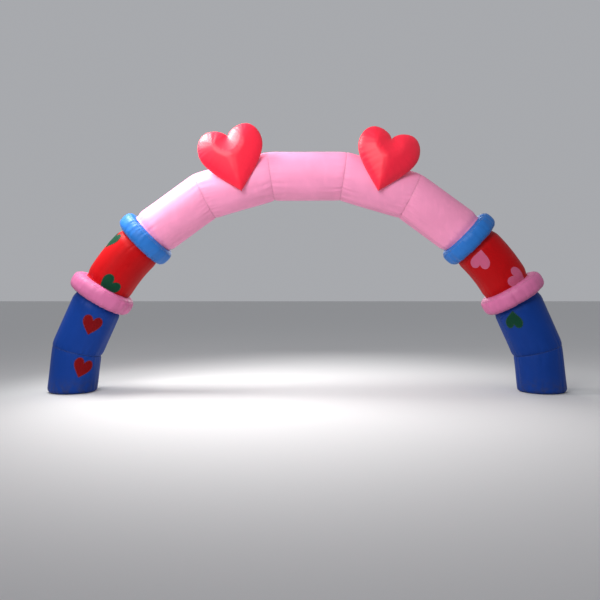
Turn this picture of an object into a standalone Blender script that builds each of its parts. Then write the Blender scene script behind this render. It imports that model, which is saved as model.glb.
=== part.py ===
"""Inflatable arch with heart decorations, at its real size.

The arch is a bent tube of air in a cloth skin. Eleven straight lengths of tube are sewn together
at mitred seams. Four fat collars go round the tube where its colour changes, two puffed hearts are
sewn to its front, and seven flat heart patches are sewn on its legs and sleeves.

Units are metres. +Z is up, the arch spans along X and faces -Y. The origin is on the floor, under
the middle of the arch. The lengths and collars of the left half are worked out once, and the right
half is the same half turned round the vertical axis.
"""

from collections import namedtuple
from math import ceil, cos, pi, radians, sin, sqrt

import bmesh
import bpy
from mathutils import Matrix, Vector
from mathutils.geometry import delaunay_2d_cdt

# Driving dimensions
PLANE_Y = 0.018         # the tube's mid-plane, so that the whole arch is centred front to back
PIECE_GAP = 0.0003      # left between neighbouring pieces
SIDES = 32              # facets round a tube or a collar
SHARP_ANGLE = 40.0      # degrees between facets that aren't shaded as one round surface

# One row for each straight length of tube, from the floor to the crown, on one side of the arch.
# slope is the rise of its centreline in degrees. bow is how far its middle swells out of line,
# towards the outside of the arch.
Length = namedtuple("Length", "name metres slope radius bow colour")
LENGTHS = [
    Length("leg_foot", 0.641, 83.5, 0.361, 0.000, "leg_blue"),
    Length("leg_upper", 0.957, 66.0, 0.373, 0.000, "leg_blue"),
    Length("sleeve", 1.066, 51.2, 0.364, 0.030, "sleeve_red"),
    Length("arch_outer", 1.120, 36.0, 0.366, 0.000, "arch_pink"),
    Length("arch_inner", 1.060, 16.5, 0.368, 0.000, "arch_pink"),
]
CROWN = Length("arch_crown", 1.110, 0.0, 0.368, 0.000, "arch_pink")

# One row for each bend above the floor. neck is the tube's radius at the seam. A collar has a
# width along the tube and an outer radius.
Bend = namedtuple("Bend", "collar neck width radius colour")
BENDS = [
    Bend(None, 0.352, 0.0, 0.0, None),
    Bend("collar_pink", 0.345, 0.270, 0.495, "collar_pink"),
    Bend("collar_blue", 0.342, 0.265, 0.465, "collar_blue"),
    Bend(None, 0.356, 0.0, 0.0, None),
    Bend(None, 0.356, 0.0, 0.0, None),
]
FLOOR = None            # the lower end of a foot, which has no bend
COLLAR_ROWS = 8         # rows of facets over a collar's crown
COLLAR_SQUARE = 2.7     # exponent of the collar's section: 2 is an ellipse, more is squarer

# How a tube swells from its drawn-in ends, as lengths along it and shares of those lengths.
SEAM_REACH = 0.11
SEAM_SHARES = (0.0, 0.12, 0.4, 1.0)
NECK_PAST_COLLAR = 0.02
COLLAR_REACH = 0.13
COLLAR_SHARES = (0.35, 1.0)
BOW_POWER = 0.7         # below 1, the bow fills out close to the necks
FOOT_ROUND = 0.065      # radius at the bottom edge of a foot
FOOT_STEPS = 4

# Puffed hearts. tip is the place of the heart's point, tilt turns it towards the outside of the
# arch and lean tips it back over the tube, both in degrees.
PuffedHeart = namedtuple("PuffedHeart", "name side tip height tilt lean")
PUFFED_HEARTS = [
    PuffedHeart("heart_left", -1, (-0.965, -0.402, 3.010), 1.005, 15.0, 8.0),
    PuffedHeart("heart_right", 1, (1.045, -0.402, 3.010), 0.960, 15.0, 8.0),
]
HEARTS_LIE_ON = ("arch_outer", "arch_inner")
PUFFED_DEPTH = 0.185    # half the thickness of a puffed heart
PUFFED_POWER = 0.6      # how fast it thickens from its rim: 0.5 is round, 1 is a straight slope
PUFFED_NOTCH = 0.865    # height of its notch, as a share of the height of its lobes
PUFFED_MESH = 0.068     # spacing of the points on it
PUFFED_OVERRUN = 0.02   # how far the hollow at its back runs past the bend between two lengths

# Flat patches. row counts the lengths up from the floor, up is the distance of the patch's middle
# from the lower end of its length, turn its angle round the tube from the outer side to the front,
# and spin its own turn on the cloth.
Patch = namedtuple("Patch", "name side row up turn spin height colour")
PATCHES = [
    Patch("patch_foot_left", -1, 0, 0.427, 126, 17, 0.290, "patch_red"),
    Patch("patch_leg_left", -1, 1, 0.508, 113, -3, 0.290, "patch_red"),
    Patch("patch_sleeve_low_left", -1, 2, 0.215, 106, 18, 0.310, "patch_green"),
    Patch("patch_sleeve_high_left", -1, 2, 0.765, 29, 0, 0.300, "patch_green"),
    Patch("patch_leg_right", 1, 1, 0.610, 128, 196, 0.270, "patch_green"),
    Patch("patch_sleeve_low_right", 1, 2, 0.195, 71, -34, 0.300, "patch_pink"),
    Patch("patch_sleeve_high_right", 1, 2, 0.737, 117, 221, 0.290, "patch_pink"),
]
PATCH_CLOTH = 0.002     # thickness of a patch
PATCH_CLEAR = 0.004     # a patch stops this far from a collar
PATCH_NOTCH = 0.770     # height of its notch, as a share of the height of its lobes
PATCH_MIDDLE = 0.55     # height of its middle, as a share of its whole height
PATCH_CUTTER = 0.12     # how far its cutter reaches in and out of the tube's skin

# A half heart of height 1 as cubic curves, from its point over the lobe. Each row holds the handles
# that leave the curve's start and reach its end, and the end. notch_curve adds the way down into
# the notch.
Curve = namedtuple("Curve", "leave reach end")
HALF_HEART = [
    Curve((0.20, 0.22), (0.48, 0.46), (0.485, 0.69)),
    Curve((0.49, 0.87), (0.39, 1.00), (0.255, 1.00)),
]


def notch_curve(notch):
    return Curve((0.13, 1.00), (0.03, (1.0 + notch) / 2), (0.0, notch))


# Cloth colours as the photograph shows them, with roughness.
CLOTHS = {
    "leg_blue": ((0.012, 0.055, 0.300), 0.55),
    "sleeve_red": ((0.520, 0.010, 0.016), 0.55),
    "arch_pink": ((0.830, 0.330, 0.560), 0.50),
    "collar_pink": ((0.680, 0.180, 0.400), 0.50),
    "collar_blue": ((0.035, 0.180, 0.620), 0.50),
    "heart_red": ((0.850, 0.030, 0.070), 0.45),
    "patch_red": ((0.230, 0.008, 0.014), 0.55),
    "patch_green": ((0.014, 0.070, 0.035), 0.55),
    "patch_pink": ((0.560, 0.120, 0.220), 0.55),
}

FRONT = Vector((0.0, -1.0, 0.0))
UP = Vector((0.0, 0.0, 1.0))
TURNS = [2 * pi * side / SIDES for side in range(SIDES)]
SIDE_NAMES = {-1: "left", 1: "right"}


def clear_scene():
    for thing in list(bpy.data.objects):
        bpy.data.objects.remove(thing)


def cloth(name):
    """The material of one cloth, made once."""
    made = bpy.data.materials.get(name)
    if made:
        return made
    colour, roughness = CLOTHS[name]
    made = bpy.data.materials.new(name)
    made.use_nodes = True
    shader = made.node_tree.nodes["Principled BSDF"]
    shader.inputs["Base Color"].default_value = (*colour, 1.0)
    shader.inputs["Roughness"].default_value = roughness
    shader.inputs["Metallic"].default_value = 0.0
    return made


def closed_mesh(name, points, faces, colour=None):
    """A closed mesh with its faces pointing out. A cutter's mesh has no colour."""
    mesh = bpy.data.meshes.new(name)
    mesh.from_pydata([tuple(p) for p in points], [], faces)
    work = bmesh.new()
    work.from_mesh(mesh)
    bmesh.ops.recalc_face_normals(work, faces=work.faces)
    work.to_mesh(mesh)
    work.free()
    if colour:
        mesh.materials.append(cloth(colour))
        mesh.shade_smooth()
        mesh.set_sharp_from_angle(angle=radians(SHARP_ANGLE))
    return mesh


def add_object(name, mesh, parent, place):
    thing = bpy.data.objects.new(name, mesh)
    bpy.context.scene.collection.objects.link(thing)
    thing.parent = parent
    thing.matrix_basis = place
    return thing


def cut(thing, name, shape, parent, place, operation):
    """Cuts a piece with a hidden closed shape, or keeps only what lies inside that shape."""
    cutter = add_object(name, closed_mesh(name, *shape), parent, place)
    cutter.hide_render = True
    cutter.display_type = "WIRE"
    modifier = thing.modifiers.new(name, "BOOLEAN")
    modifier.operation = operation
    modifier.object = cutter


def direction(row):
    return Vector((cos(radians(row.slope)), 0.0, sin(radians(row.slope))))


def left_ends():
    """Both ends of each length of the left half and of the crown, from the floor up."""
    ends = [Vector((CROWN.metres / 2, 0.0, 0.0)), Vector((-CROWN.metres / 2, 0.0, 0.0))]
    for row in reversed(LENGTHS):
        ends.append(ends[-1] - direction(row) * row.metres)
    foot = ends[-1].z
    return [end - UP * foot for end in reversed(ends)]


def end_stations(bend, radius):
    """How a tube begins at one of its ends: distances from the end, each with the tube's radius."""
    if bend is FLOOR:
        angles = [step / (FOOT_STEPS - 1) * pi / 2 for step in range(FOOT_STEPS)]
        return [(FOOT_ROUND * (1.0 - cos(a)), radius - FOOT_ROUND * (1.0 - sin(a)))
                for a in angles]
    swell = radius - bend.neck
    if bend.collar:
        neck_end = bend.width / 2 + NECK_PAST_COLLAR
        rise = [(neck_end + COLLAR_REACH * share, bend.neck + swell * sin(share * pi / 2))
                for share in COLLAR_SHARES]
        return [(0.0, bend.neck), (neck_end, bend.neck)] + rise
    return [(SEAM_REACH * share, bend.neck + swell * sqrt(1.0 - (1.0 - share) ** 2))
            for share in SEAM_SHARES]


class Tube:
    """One straight length of tube between two mitre cuts. Its points are relative to its start."""

    def __init__(self, row, start, end, cuts, bends):
        self.row = row
        self.start = start
        self.axis = (end - start).normalized()
        self.length = (end - start).length
        self.outward = Vector((-self.axis.z, 0.0, self.axis.x))
        self.cuts = cuts
        self.bends = bends
        lower, upper = [end_stations(bend, row.radius) for bend in bends]
        self.stations = [(d / self.length, r) for d, r in lower]
        self.stations += [(1.0 - d / self.length, r) for d, r in reversed(upper)]

    def spoke(self, turn):
        return self.outward * cos(turn) + FRONT * sin(turn)

    def reach(self, turn):
        """Where the line along the skin at this turn meets the lower and upper cut."""
        spoke = self.spoke(turn)
        low_cut, high_cut = self.cuts
        low_gap = 0.0 if self.bends[0] is FLOOR else PIECE_GAP / 2
        low_radius, high_radius = self.stations[0][1], self.stations[-1][1]
        low = (low_gap - low_radius * spoke.dot(low_cut)) / self.axis.dot(low_cut)
        high = (-PIECE_GAP / 2 - high_radius * spoke.dot(high_cut)) / self.axis.dot(high_cut)
        return low, self.length + high

    def radius_at(self, share):
        for (low, low_radius), (high, high_radius) in zip(self.stations, self.stations[1:]):
            if low <= share <= high:
                return low_radius + (high_radius - low_radius) * (share - low) / (high - low)
        return self.stations[0][1] if share < 0.0 else self.stations[-1][1]

    def bow_at(self, share):
        """How far the tube has swelled out of line, between its two necks."""
        low, high = self.stations[1][0], self.stations[-2][0]
        inside = min(max((share - low) / (high - low), 0.0), 1.0)
        return self.row.bow * sin(inside * pi) ** BOW_POWER

    def skin(self, turn, share, grow=0.0):
        low, high = self.reach(turn)
        along = self.axis * (low + (high - low) * share)
        out = self.spoke(turn) * (self.radius_at(share) + grow)
        return along + out + self.outward * self.bow_at(share)

    def shape(self, grow=0.0, overrun=0.0):
        """The whole length as a closed shape, or a jacket that is larger all round."""
        shares = [share for share, _ in self.stations]
        shares[0] -= overrun / self.length
        shares[-1] += overrun / self.length
        return capped([[self.skin(turn, share, grow) for turn in TURNS] for share in shares])

    def trimmed_shape(self, grow, trims):
        """A jacket over the stretch that is left when each end is trimmed by a distance."""
        spans = [high - low for low, high in map(self.reach, TURNS)]
        low_trim, high_trim = trims
        kept = [share for share, _ in self.stations
                if share * min(spans) > low_trim and (1.0 - share) * min(spans) > high_trim]
        shares = [[low_trim / span for span in spans]]
        shares += [[share] * SIDES for share in kept]
        shares.append([1.0 - high_trim / span for span in spans])
        return capped([[self.skin(turn, share, grow) for turn, share in zip(TURNS, row)]
                       for row in shares])


def make_tubes():
    """The lengths of the left half, from the floor up, and the crown."""
    ends = left_ends()
    rows = LENGTHS + [CROWN]
    steps = [direction(row) for row in rows]
    cuts = [UP] + [(a + b).normalized() for a, b in zip(steps, steps[1:])]
    cuts.append(Vector((cuts[-1].x, 0.0, -cuts[-1].z)))
    bends = [FLOOR] + BENDS + [BENDS[-1]]
    return [Tube(row, ends[i], ends[i + 1], cuts[i:i + 2], bends[i:i + 2])
            for i, row in enumerate(rows)]


def band(low, high, count):
    """Triangles between two rings of points."""
    faces = []
    for i in range(count):
        j = (i + 1) % count
        faces += [(low + i, low + j, high + j), (low + i, high + j, high + i)]
    return faces


def capped(rows):
    """Rings of points as a closed shape, with a flat fan of triangles at each end."""
    points = [p for row in rows for p in row]
    faces = []
    for r in range(len(rows) - 1):
        faces += band(r * SIDES, (r + 1) * SIDES, SIDES)
    for ring in (0, len(rows) - 1):
        points.append(sum(rows[ring], Vector()) / SIDES)
        faces += [(ring * SIDES + i, ring * SIDES + (i + 1) % SIDES, len(points) - 1)
                  for i in range(SIDES)]
    return points, faces


def collar_shape(bend, below, above):
    """A fat ring whose bore follows the two tubes that meet inside it, around the bend point."""
    axis = (below.axis + above.axis).normalized()
    outward = Vector((-axis.z, 0.0, axis.x))
    bore = bend.neck + PIECE_GAP

    def bore_point(turn, offset):
        tube = below if offset < 0 else above
        spoke = tube.spoke(turn)
        along = (offset - bore * spoke.dot(axis)) / tube.axis.dot(axis)
        return tube.axis * along + spoke * bore

    def crown_point(turn, offset):
        return axis * offset + (outward * cos(turn) + FRONT * sin(turn)) * bend.radius

    rows = [[bore_point(turn, 0.0) for turn in TURNS]]
    for step in range(COLLAR_ROWS + 1):
        angle = pi * step / COLLAR_ROWS
        swing = abs(cos(angle)) ** (2 / COLLAR_SQUARE)
        offset = -bend.width / 2 * (swing if step < COLLAR_ROWS / 2 else -swing)
        lift = sin(angle) ** (2 / COLLAR_SQUARE) if 0 < step < COLLAR_ROWS else 0.0
        rows.append([bore_point(t, offset).lerp(crown_point(t, offset), lift) for t in TURNS])
    points = [p for row in rows for p in row]
    faces = []
    for r in range(len(rows)):
        faces += band(r * SIDES, (r + 1) % len(rows) * SIDES, SIDES)
    return points, faces


def heart_rim(height, notch, steps):
    """A heart's outline in a flat plane, anticlockwise from its point at the origin."""
    half = []
    start = Vector((0.0, 0.0))
    for curve in HALF_HEART + [notch_curve(notch)]:
        handles = [start, Vector(curve.leave), Vector(curve.reach), Vector(curve.end)]
        for step in range(steps):
            t = step / steps
            weights = ((1 - t) ** 3, 3 * t * (1 - t) ** 2, 3 * t * t * (1 - t), t ** 3)
            half.append(sum((h * w for h, w in zip(handles, weights)), Vector((0.0, 0.0))))
        start = Vector(curve.end)
    other = [Vector((-p.x, p.y)) for p in reversed(half[1:])]
    return [p * height for p in half + [start] + other]


def depth_inside(point, rim):
    """How far a point is from the heart's outline, negative outside it."""
    nearest, inside = None, False
    for a, b in zip(rim, rim[1:] + rim[:1]):
        edge = b - a
        share = max(0.0, min(1.0, (point - a).dot(edge) / edge.length_squared))
        gap = (a + edge * share - point).length
        nearest = gap if nearest is None else min(nearest, gap)
        if (a.y > point.y) != (b.y > point.y):
            inside ^= point.x < a.x + (point.y - a.y) / (b.y - a.y) * edge.x
    return nearest if inside else -nearest


def heart_grid(height, rim):
    """Points inside a puffed heart: a triangular grid, closer together on the middle line."""
    line_step = PUFFED_MESH * sqrt(3) / 2
    across = ceil(height / PUFFED_MESH)
    grid, ridge = [], []
    for line in range(ceil(height / line_step)):
        y = line * line_step
        shift = PUFFED_MESH / 2 if line % 2 else 0.0
        grid += [Vector((column * PUFFED_MESH + shift, y)) for column in range(-across, across + 1)
                 if column or shift]
        ridge += [Vector((0.0, y)), Vector((0.0, y + line_step / 2))]
    return ([p for p in grid if depth_inside(p, rim) > PUFFED_MESH * 0.45]
            + [p for p in ridge if depth_inside(p, rim) > PUFFED_MESH * 0.25])


def puffed_heart_shape(height):
    """Two heart panels sewn round their rim and blown up: deepest far from the rim."""
    rim = heart_rim(height, PUFFED_NOTCH, 7)
    loop = [(i, (i + 1) % len(rim)) for i in range(len(rim))]
    flat, _, faces, _, _, _ = delaunay_2d_cdt(rim + heart_grid(height, rim), loop, [], 1, 1e-6)
    depths = [0.0 if i < len(rim) else depth_inside(p, rim) for i, p in enumerate(flat)]
    swell = [PUFFED_DEPTH * (depth / max(depths)) ** PUFFED_POWER for depth in depths]
    points = [Vector((p.x, -s, p.y)) for p, s in zip(flat, swell)]
    points += [Vector((p.x, s, p.y)) for p, s in zip(flat[len(rim):], swell[len(rim):])]
    inner_count = len(flat) - len(rim)
    back = [i if i < len(rim) else i + inner_count for i in range(len(flat))]
    faces = [tuple(face) for face in faces]
    return points, faces + [tuple(back[i] for i in reversed(face)) for face in faces]


def patch_cutter_shape(height):
    """A heart-shaped prism through the cloth, around the patch's middle."""
    rim = heart_rim(height, PATCH_NOTCH, 5)
    points = [Vector((p.x, y, p.y - height * PATCH_MIDDLE))
              for y in (-PATCH_CUTTER, PATCH_CUTTER) for p in rim]
    count = len(rim)
    caps = [tuple(range(count)), tuple(reversed(range(count, 2 * count)))]
    return points, band(0, count, count) + caps


def make_tube_meshes(tubes):
    return [closed_mesh(tube.row.name, *tube.shape(), tube.row.colour) for tube in tubes]


def make_collar_meshes(tubes):
    return [closed_mesh(bend.collar, *collar_shape(bend, below, above), bend.colour)
            if bend.collar else None for bend, below, above in zip(BENDS, tubes, tubes[1:])]


def make_half(side, tubes, tube_meshes, collar_meshes):
    """One half of the arch: its lengths of tube and its collars."""
    half = bpy.data.objects.new("half_" + SIDE_NAMES[side], None)
    bpy.context.scene.collection.objects.link(half)
    turned = Matrix.Rotation(pi, 4, "Z") if side > 0 else Matrix()
    half.matrix_basis = Matrix.Translation(FRONT * -PLANE_Y) @ turned
    for tube, mesh in zip(tubes[:-1], tube_meshes):
        add_object(f"{tube.row.name}_{SIDE_NAMES[side]}", mesh, half,
                   Matrix.Translation(tube.start))
    for bend, above, mesh in zip(BENDS, tubes[1:], collar_meshes):
        if mesh:
            add_object(f"{bend.collar}_{SIDE_NAMES[side]}", mesh, half,
                       Matrix.Translation(above.start))
    return half


def make_puffed_heart(heart, tubes, half):
    """A blown-up heart, hollowed at its back where it is sewn against the tube."""
    place = Matrix.Translation(heart.tip)
    place @= Matrix.Rotation(radians(heart.tilt * heart.side), 4, "Y")
    place @= Matrix.Rotation(radians(-heart.lean), 4, "X")
    mesh = closed_mesh(heart.name, *puffed_heart_shape(heart.height), "heart_red")
    thing = add_object(heart.name, mesh, None, place)
    for tube in tubes:
        if tube.row.name in HEARTS_LIE_ON:
            jacket = tube.shape(grow=PIECE_GAP, overrun=PUFFED_OVERRUN)
            cut(thing, f"{heart.name}_{tube.row.name}", jacket, half,
                Matrix.Translation(tube.start), "DIFFERENCE")


def patch_place(patch, tube):
    """The place of a patch on its tube, facing out, with its point down the tube."""
    turn = radians(patch.turn) * -patch.side
    low, high = tube.reach(turn)
    middle = tube.start + tube.skin(turn, (patch.up - low) / (high - low))
    out, along = tube.spoke(turn), tube.axis
    facing = Matrix((along.cross(out), -out, along)).transposed().to_4x4()
    return Matrix.Translation(middle) @ facing @ Matrix.Rotation(radians(patch.spin), 4, "Y")


def make_patch(patch, tube, half):
    """A flat patch: a heart cut out of a thin jacket that lies on the tube."""
    shape = patch_cutter_shape(patch.height)
    thing = add_object(patch.name, closed_mesh(patch.name, *shape, patch.colour), half,
                       patch_place(patch, tube))
    trims = [bend.width / 2 + PATCH_CLEAR if bend else PATCH_CLEAR for bend in tube.bends]
    outside = tube.trimmed_shape(PIECE_GAP + PATCH_CLOTH, trims)
    at_tube = Matrix.Translation(tube.start)
    cut(thing, patch.name + "_outside", outside, half, at_tube, "INTERSECT")
    cut(thing, patch.name + "_inside", tube.shape(grow=PIECE_GAP), half, at_tube, "DIFFERENCE")


def main():
    clear_scene()
    tubes = make_tubes()
    tube_meshes = make_tube_meshes(tubes)
    collar_meshes = make_collar_meshes(tubes)
    halves = {side: make_half(side, tubes, tube_meshes, collar_meshes) for side in SIDE_NAMES}
    crown = tubes[-1]
    add_object(CROWN.name, tube_meshes[-1], None,
               Matrix.Translation(crown.start - FRONT * PLANE_Y))
    for heart in PUFFED_HEARTS:
        make_puffed_heart(heart, tubes, halves[heart.side])
    for patch in PATCHES:
        make_patch(patch, tubes[patch.row], halves[patch.side])


main()
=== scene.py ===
# %% [markdown]
# # Dressing an inflatable arch
# The real arch is a bent tube of coated cloth that a blower keeps full of air. Its plain solids are
# loaded first, as a fixed frame, and every piece made below is the sewn cloth of one of them. The
# solids are kept, hidden, and each piece's box is set against that of its solid as it is made.

# %% Load the frame
from collections import namedtuple
from math import ceil, cos, pi, radians, sin

import bpy
import numpy as np
from mathutils import Matrix, Vector
from mathutils.bvhtree import BVHTree
from mathutils.geometry import delaunay_2d_cdt


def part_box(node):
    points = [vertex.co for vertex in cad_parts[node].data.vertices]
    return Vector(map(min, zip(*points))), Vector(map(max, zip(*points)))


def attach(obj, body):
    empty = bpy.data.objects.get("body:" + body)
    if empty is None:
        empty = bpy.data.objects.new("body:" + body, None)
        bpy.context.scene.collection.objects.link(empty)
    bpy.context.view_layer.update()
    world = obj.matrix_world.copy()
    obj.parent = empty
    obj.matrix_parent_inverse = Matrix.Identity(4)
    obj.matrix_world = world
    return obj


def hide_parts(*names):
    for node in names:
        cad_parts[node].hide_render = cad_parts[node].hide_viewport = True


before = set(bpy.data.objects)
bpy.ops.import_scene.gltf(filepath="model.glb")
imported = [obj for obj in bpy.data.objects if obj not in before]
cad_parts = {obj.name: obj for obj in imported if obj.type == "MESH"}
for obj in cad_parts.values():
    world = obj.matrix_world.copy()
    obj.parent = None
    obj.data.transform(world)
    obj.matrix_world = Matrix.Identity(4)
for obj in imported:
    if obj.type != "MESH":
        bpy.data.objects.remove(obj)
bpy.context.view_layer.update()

scene = bpy.context.scene

# %% [markdown]
# ## The camera
# The photograph was taken from about ten metres in front, at eye height, with the camera level.
# A level camera keeps the legs upright, so the picture is framed by shifting the lens and not by
# tilting it. The focal length in pixels is worked out from the arch's known width.

# %% Camera
PHOTO_SIDE = 600.0        # pixels
FOCAL_LENGTH = 652.5      # pixels
CENTRE_COLUMN = 307.2     # where the arch's middle stands in the picture, in pixels
HORIZON_ROW = 293.725     # pixels from the top
EYE = (0.0, -10.0, 1.5)

camera = bpy.data.cameras.new("camera")
camera.sensor_width = 36.0
camera.lens = FOCAL_LENGTH / PHOTO_SIDE * camera.sensor_width
camera.shift_x = 0.5 - CENTRE_COLUMN / PHOTO_SIDE
camera.shift_y = HORIZON_ROW / PHOTO_SIDE - 0.5
camera_object = bpy.data.objects.new("camera", camera)
camera_object.location = EYE
camera_object.rotation_euler = (radians(90.0), 0.0, 0.0)
scene.collection.objects.link(camera_object)
scene.camera = camera_object
scene.view_settings.view_transform = "Standard"
print("lens:", round(camera.lens, 2), "mm")

# %% [markdown]
# ## Light
# The light came from high on the left: the left shoulder of the arch and the lobes of the left
# heart are almost white, and the right half is duller. A sun lamp would light both halves alike, so
# the key is an area lamp above the left end. It hangs in the arch's own plane, from where the gloss
# of surfaces that face up and left sends its light to the camera. A wide front lamp shapes the
# colours, a weak one behind serves the back, and a pale sky fills the shadows. A narrow spread
# keeps the floor from being overlit, and the camera doesn't see the lamps.

# %% Lamps and sky
Lamp = namedtuple("Lamp", "name place target side spread watts colour")
LAMPS = [
    Lamp("key", (-3.7, 0.0, 6.0), (-2.0, 0.0, 3.3), 2.4, 90.0, 160.0, (1.0, 0.99, 0.98)),
    Lamp("front", (-3.4, -7.5, 6.2), (-0.3, 0.0, 2.2), 5.0, 90.0, 180.0, (1.0, 0.99, 0.98)),
    Lamp("back", (1.0, 8.0, 5.0), (0.0, 0.0, 2.2), 5.0, 90.0, 80.0, (1.0, 1.0, 1.0)),
]
SKY_COLOUR = (0.93, 0.95, 1.0, 1.0)
SKY_STRENGTH = 0.42

for row in LAMPS:
    lamp = bpy.data.lights.new(row.name, "AREA")
    lamp.size = row.side
    lamp.spread = radians(row.spread)
    lamp.energy = row.watts
    lamp.color = row.colour
    thing = bpy.data.objects.new(row.name, lamp)
    thing.location = row.place
    aim = Vector(row.target) - Vector(row.place)
    thing.rotation_euler = aim.to_track_quat("-Z", "Y").to_euler()
    thing.visible_camera = False
    scene.collection.objects.link(thing)

sky = bpy.data.worlds.new("sky")
sky.use_nodes = True
sky.node_tree.nodes["Background"].inputs["Color"].default_value = SKY_COLOUR
sky.node_tree.nodes["Background"].inputs["Strength"].default_value = SKY_STRENGTH
scene.world = sky
print("lamps:", ", ".join(f"{row.name} {row.watts:.0f} W" for row in LAMPS))

# %% [markdown]
# ## Sums with shader sockets
# A cloth material is mostly arithmetic: how far is this point from a seam, is there a stitch here.
# Wiring a Math node by hand for each step is slow to read, so a small class wraps a node's output
# and lets Python's own operators add those nodes. Numbers that don't vary stay plain Python.

# %% A socket that takes part in sums
class Socket:
    """One output of a shader node, which adds Math nodes when it takes part in a sum."""

    def __init__(self, recipe, output):
        self.recipe = recipe
        self.output = output

    def math(self, operation, first, second=None):
        inputs = {0: first} if second is None else {0: first, 1: second}
        return self.recipe.node("ShaderNodeMath", {"operation": operation}, inputs)

    def __add__(self, other):
        return self.math("ADD", self, other)

    def __sub__(self, other):
        return self.math("SUBTRACT", self, other)

    def __rsub__(self, other):
        return self.math("SUBTRACT", other, self)

    def __mul__(self, other):
        return self.math("MULTIPLY", self, other)

    def __truediv__(self, other):
        return self.math("DIVIDE", self, other)

    def __lt__(self, other):
        return self.math("LESS_THAN", self, other)

    def __abs__(self):
        return self.math("ABSOLUTE", self)

    __radd__ = __add__
    __rmul__ = __mul__

    def sine(self):
        return self.math("SINE", self)

    def fraction(self):
        return self.math("FRACT", self)

    def fade(self, start, end):
        """A mask that runs smoothly from 0 at start to 1 at end."""
        settings = {"interpolation_type": "SMOOTHSTEP"}
        return self.recipe.node("ShaderNodeMapRange", settings, {0: self, 1: start, 2: end})


# %% [markdown]
# ## The recipe of a material
# Every material starts from the Principled shader. One method adds any node: it takes the node's
# type, the settings that belong to the node itself, and what goes into its sockets, be it a number
# or another node's output. The few nodes that are used often have a short name of their own.

# %% The node tree of one material
class Recipe:
    """The node tree of one material."""

    def __init__(self, name):
        self.material = bpy.data.materials.new(name)
        self.material.use_nodes = True
        self.tree = self.material.node_tree
        self.shader = self.tree.nodes["Principled BSDF"]

    def node(self, kind, settings=None, inputs=None, output=0):
        made = self.tree.nodes.new(kind)
        for key, value in (settings or {}).items():
            setattr(made, key, value)
        for key, value in (inputs or {}).items():
            self.feed(made.inputs[key], value)
        return Socket(self, made.outputs[output])

    def feed(self, socket, value):
        if isinstance(value, Socket):
            self.tree.links.new(value.output, socket)
        else:
            socket.default_value = value

    def mix(self, factor, first, second):
        """A colour between two colours."""
        inputs = {0: factor, 6: first, 7: second}
        return self.node("ShaderNodeMix", {"data_type": "RGBA"}, inputs, 2)

    def pair(self, name):
        """The two numbers that each corner of the cloth carries under this name."""
        vector = self.node("ShaderNodeUVMap", {"uv_map": name})
        return [self.node("ShaderNodeSeparateXYZ", None, {0: vector}, part) for part in (0, 1)]

    def place(self):
        """The point's place on the arch."""
        return self.node("ShaderNodeTexCoord", None, None, "Object")

    def height(self):
        """The point's height above the floor."""
        return self.node("ShaderNodeSeparateXYZ", None, {0: self.place()}, 2)

    def noise(self, scale, detail, stretch=None):
        """A cloudy pattern, with about as many clouds to a metre as scale says."""
        place = self.place()
        if stretch:
            settings = {"operation": "MULTIPLY"}
            place = self.node("ShaderNodeVectorMath", settings, {0: place, 1: stretch})
        inputs = {"Vector": place, "Scale": scale, "Detail": detail}
        return self.node("ShaderNodeTexNoise", None, inputs)


# %% [markdown]
# ## Coated cloth
# Arches like this are sewn from a light woven polyester with a thin shiny coating. From a step away
# one sees the fine weave, a soft broad gloss, small crinkles, a darker band where a seam doubles
# the cloth, and its two rows of stitches. Every piece carries two pairs of numbers for that: its
# own place on the cloth in metres, and the place along the nearest seam with the distance from it.
# An image of a weave would need a file and would blur close up, so it is all worked out by nodes.

# %% Sizes in the cloth, in metres
THREAD = 0.0012           # between the threads of the weave
WEAVE_HEIGHT = 0.00003
CRINKLE_HEIGHT = 0.0014
SEAM_BAND = 0.013         # how far a seam doubles the cloth on either side
BAND_EDGE = 0.001         # half the width over which the band fades
SEAM_STEP = 0.0007        # thickness of that second layer
STITCH_ROWS = (0.004, 0.010)
STITCH_LENGTH = 0.0065
STITCH_SHARE = 0.72       # of the length, the rest is the hole between two stitches
STITCH_WIDTH = 0.0011
STITCH_HEIGHT = 0.0006
# Near the floor the cloth is darkened: painted shade, mottled like dirt.
FLOOR_SHADE_AND_DIRT_TOP = 0.32           # height up to which painted shade and dirt darken the cloth
FLOOR_SHADE_AND_DIRT_COLOUR = (0.05, 0.045, 0.05, 1.0)

print("stitches to a metre of seam:", round(len(STITCH_ROWS) / STITCH_LENGTH))

# %% [markdown]
# ## Nine cloths
# One recipe serves every cloth, so a table holds what differs: the colour, how rough and how shiny
# the coating is, how much paler the thread is, and how much painted shade and dirt darken it by the
# ground.
# The colours are linear, as shaders take them. They are deeper than those in the photograph,
# because the coating's gloss and the light of the sky are added to them.

# %% Colours and finishes
Cloth = namedtuple("Cloth", "colour roughness shine thread dust")
CLOTHS = {
    "leg_blue": Cloth((0.002, 0.036, 0.235), 0.50, 0.14, 0.12, 0.45),
    "sleeve_red": Cloth((0.450, 0.001, 0.003), 0.50, 0.12, 0.08, 0.0),
    "arch_pink": Cloth((0.900, 0.305, 0.510), 0.50, 0.34, 0.30, 0.0),
    "collar_pink": Cloth((0.600, 0.150, 0.325), 0.46, 0.25, 0.30, 0.0),
    "collar_blue": Cloth((0.016, 0.150, 0.500), 0.46, 0.25, 0.30, 0.0),
    "heart_red": Cloth((0.930, 0.012, 0.045), 0.44, 0.45, 0.20, 0.0),
    "patch_red": Cloth((0.180, 0.001, 0.003), 0.60, 0.10, 0.15, 0.2),
    "patch_green": Cloth((0.003, 0.048, 0.022), 0.60, 0.10, 0.15, 0.0),
    "patch_pink": Cloth((0.550, 0.105, 0.210), 0.60, 0.14, 0.25, 0.0),
}
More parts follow.
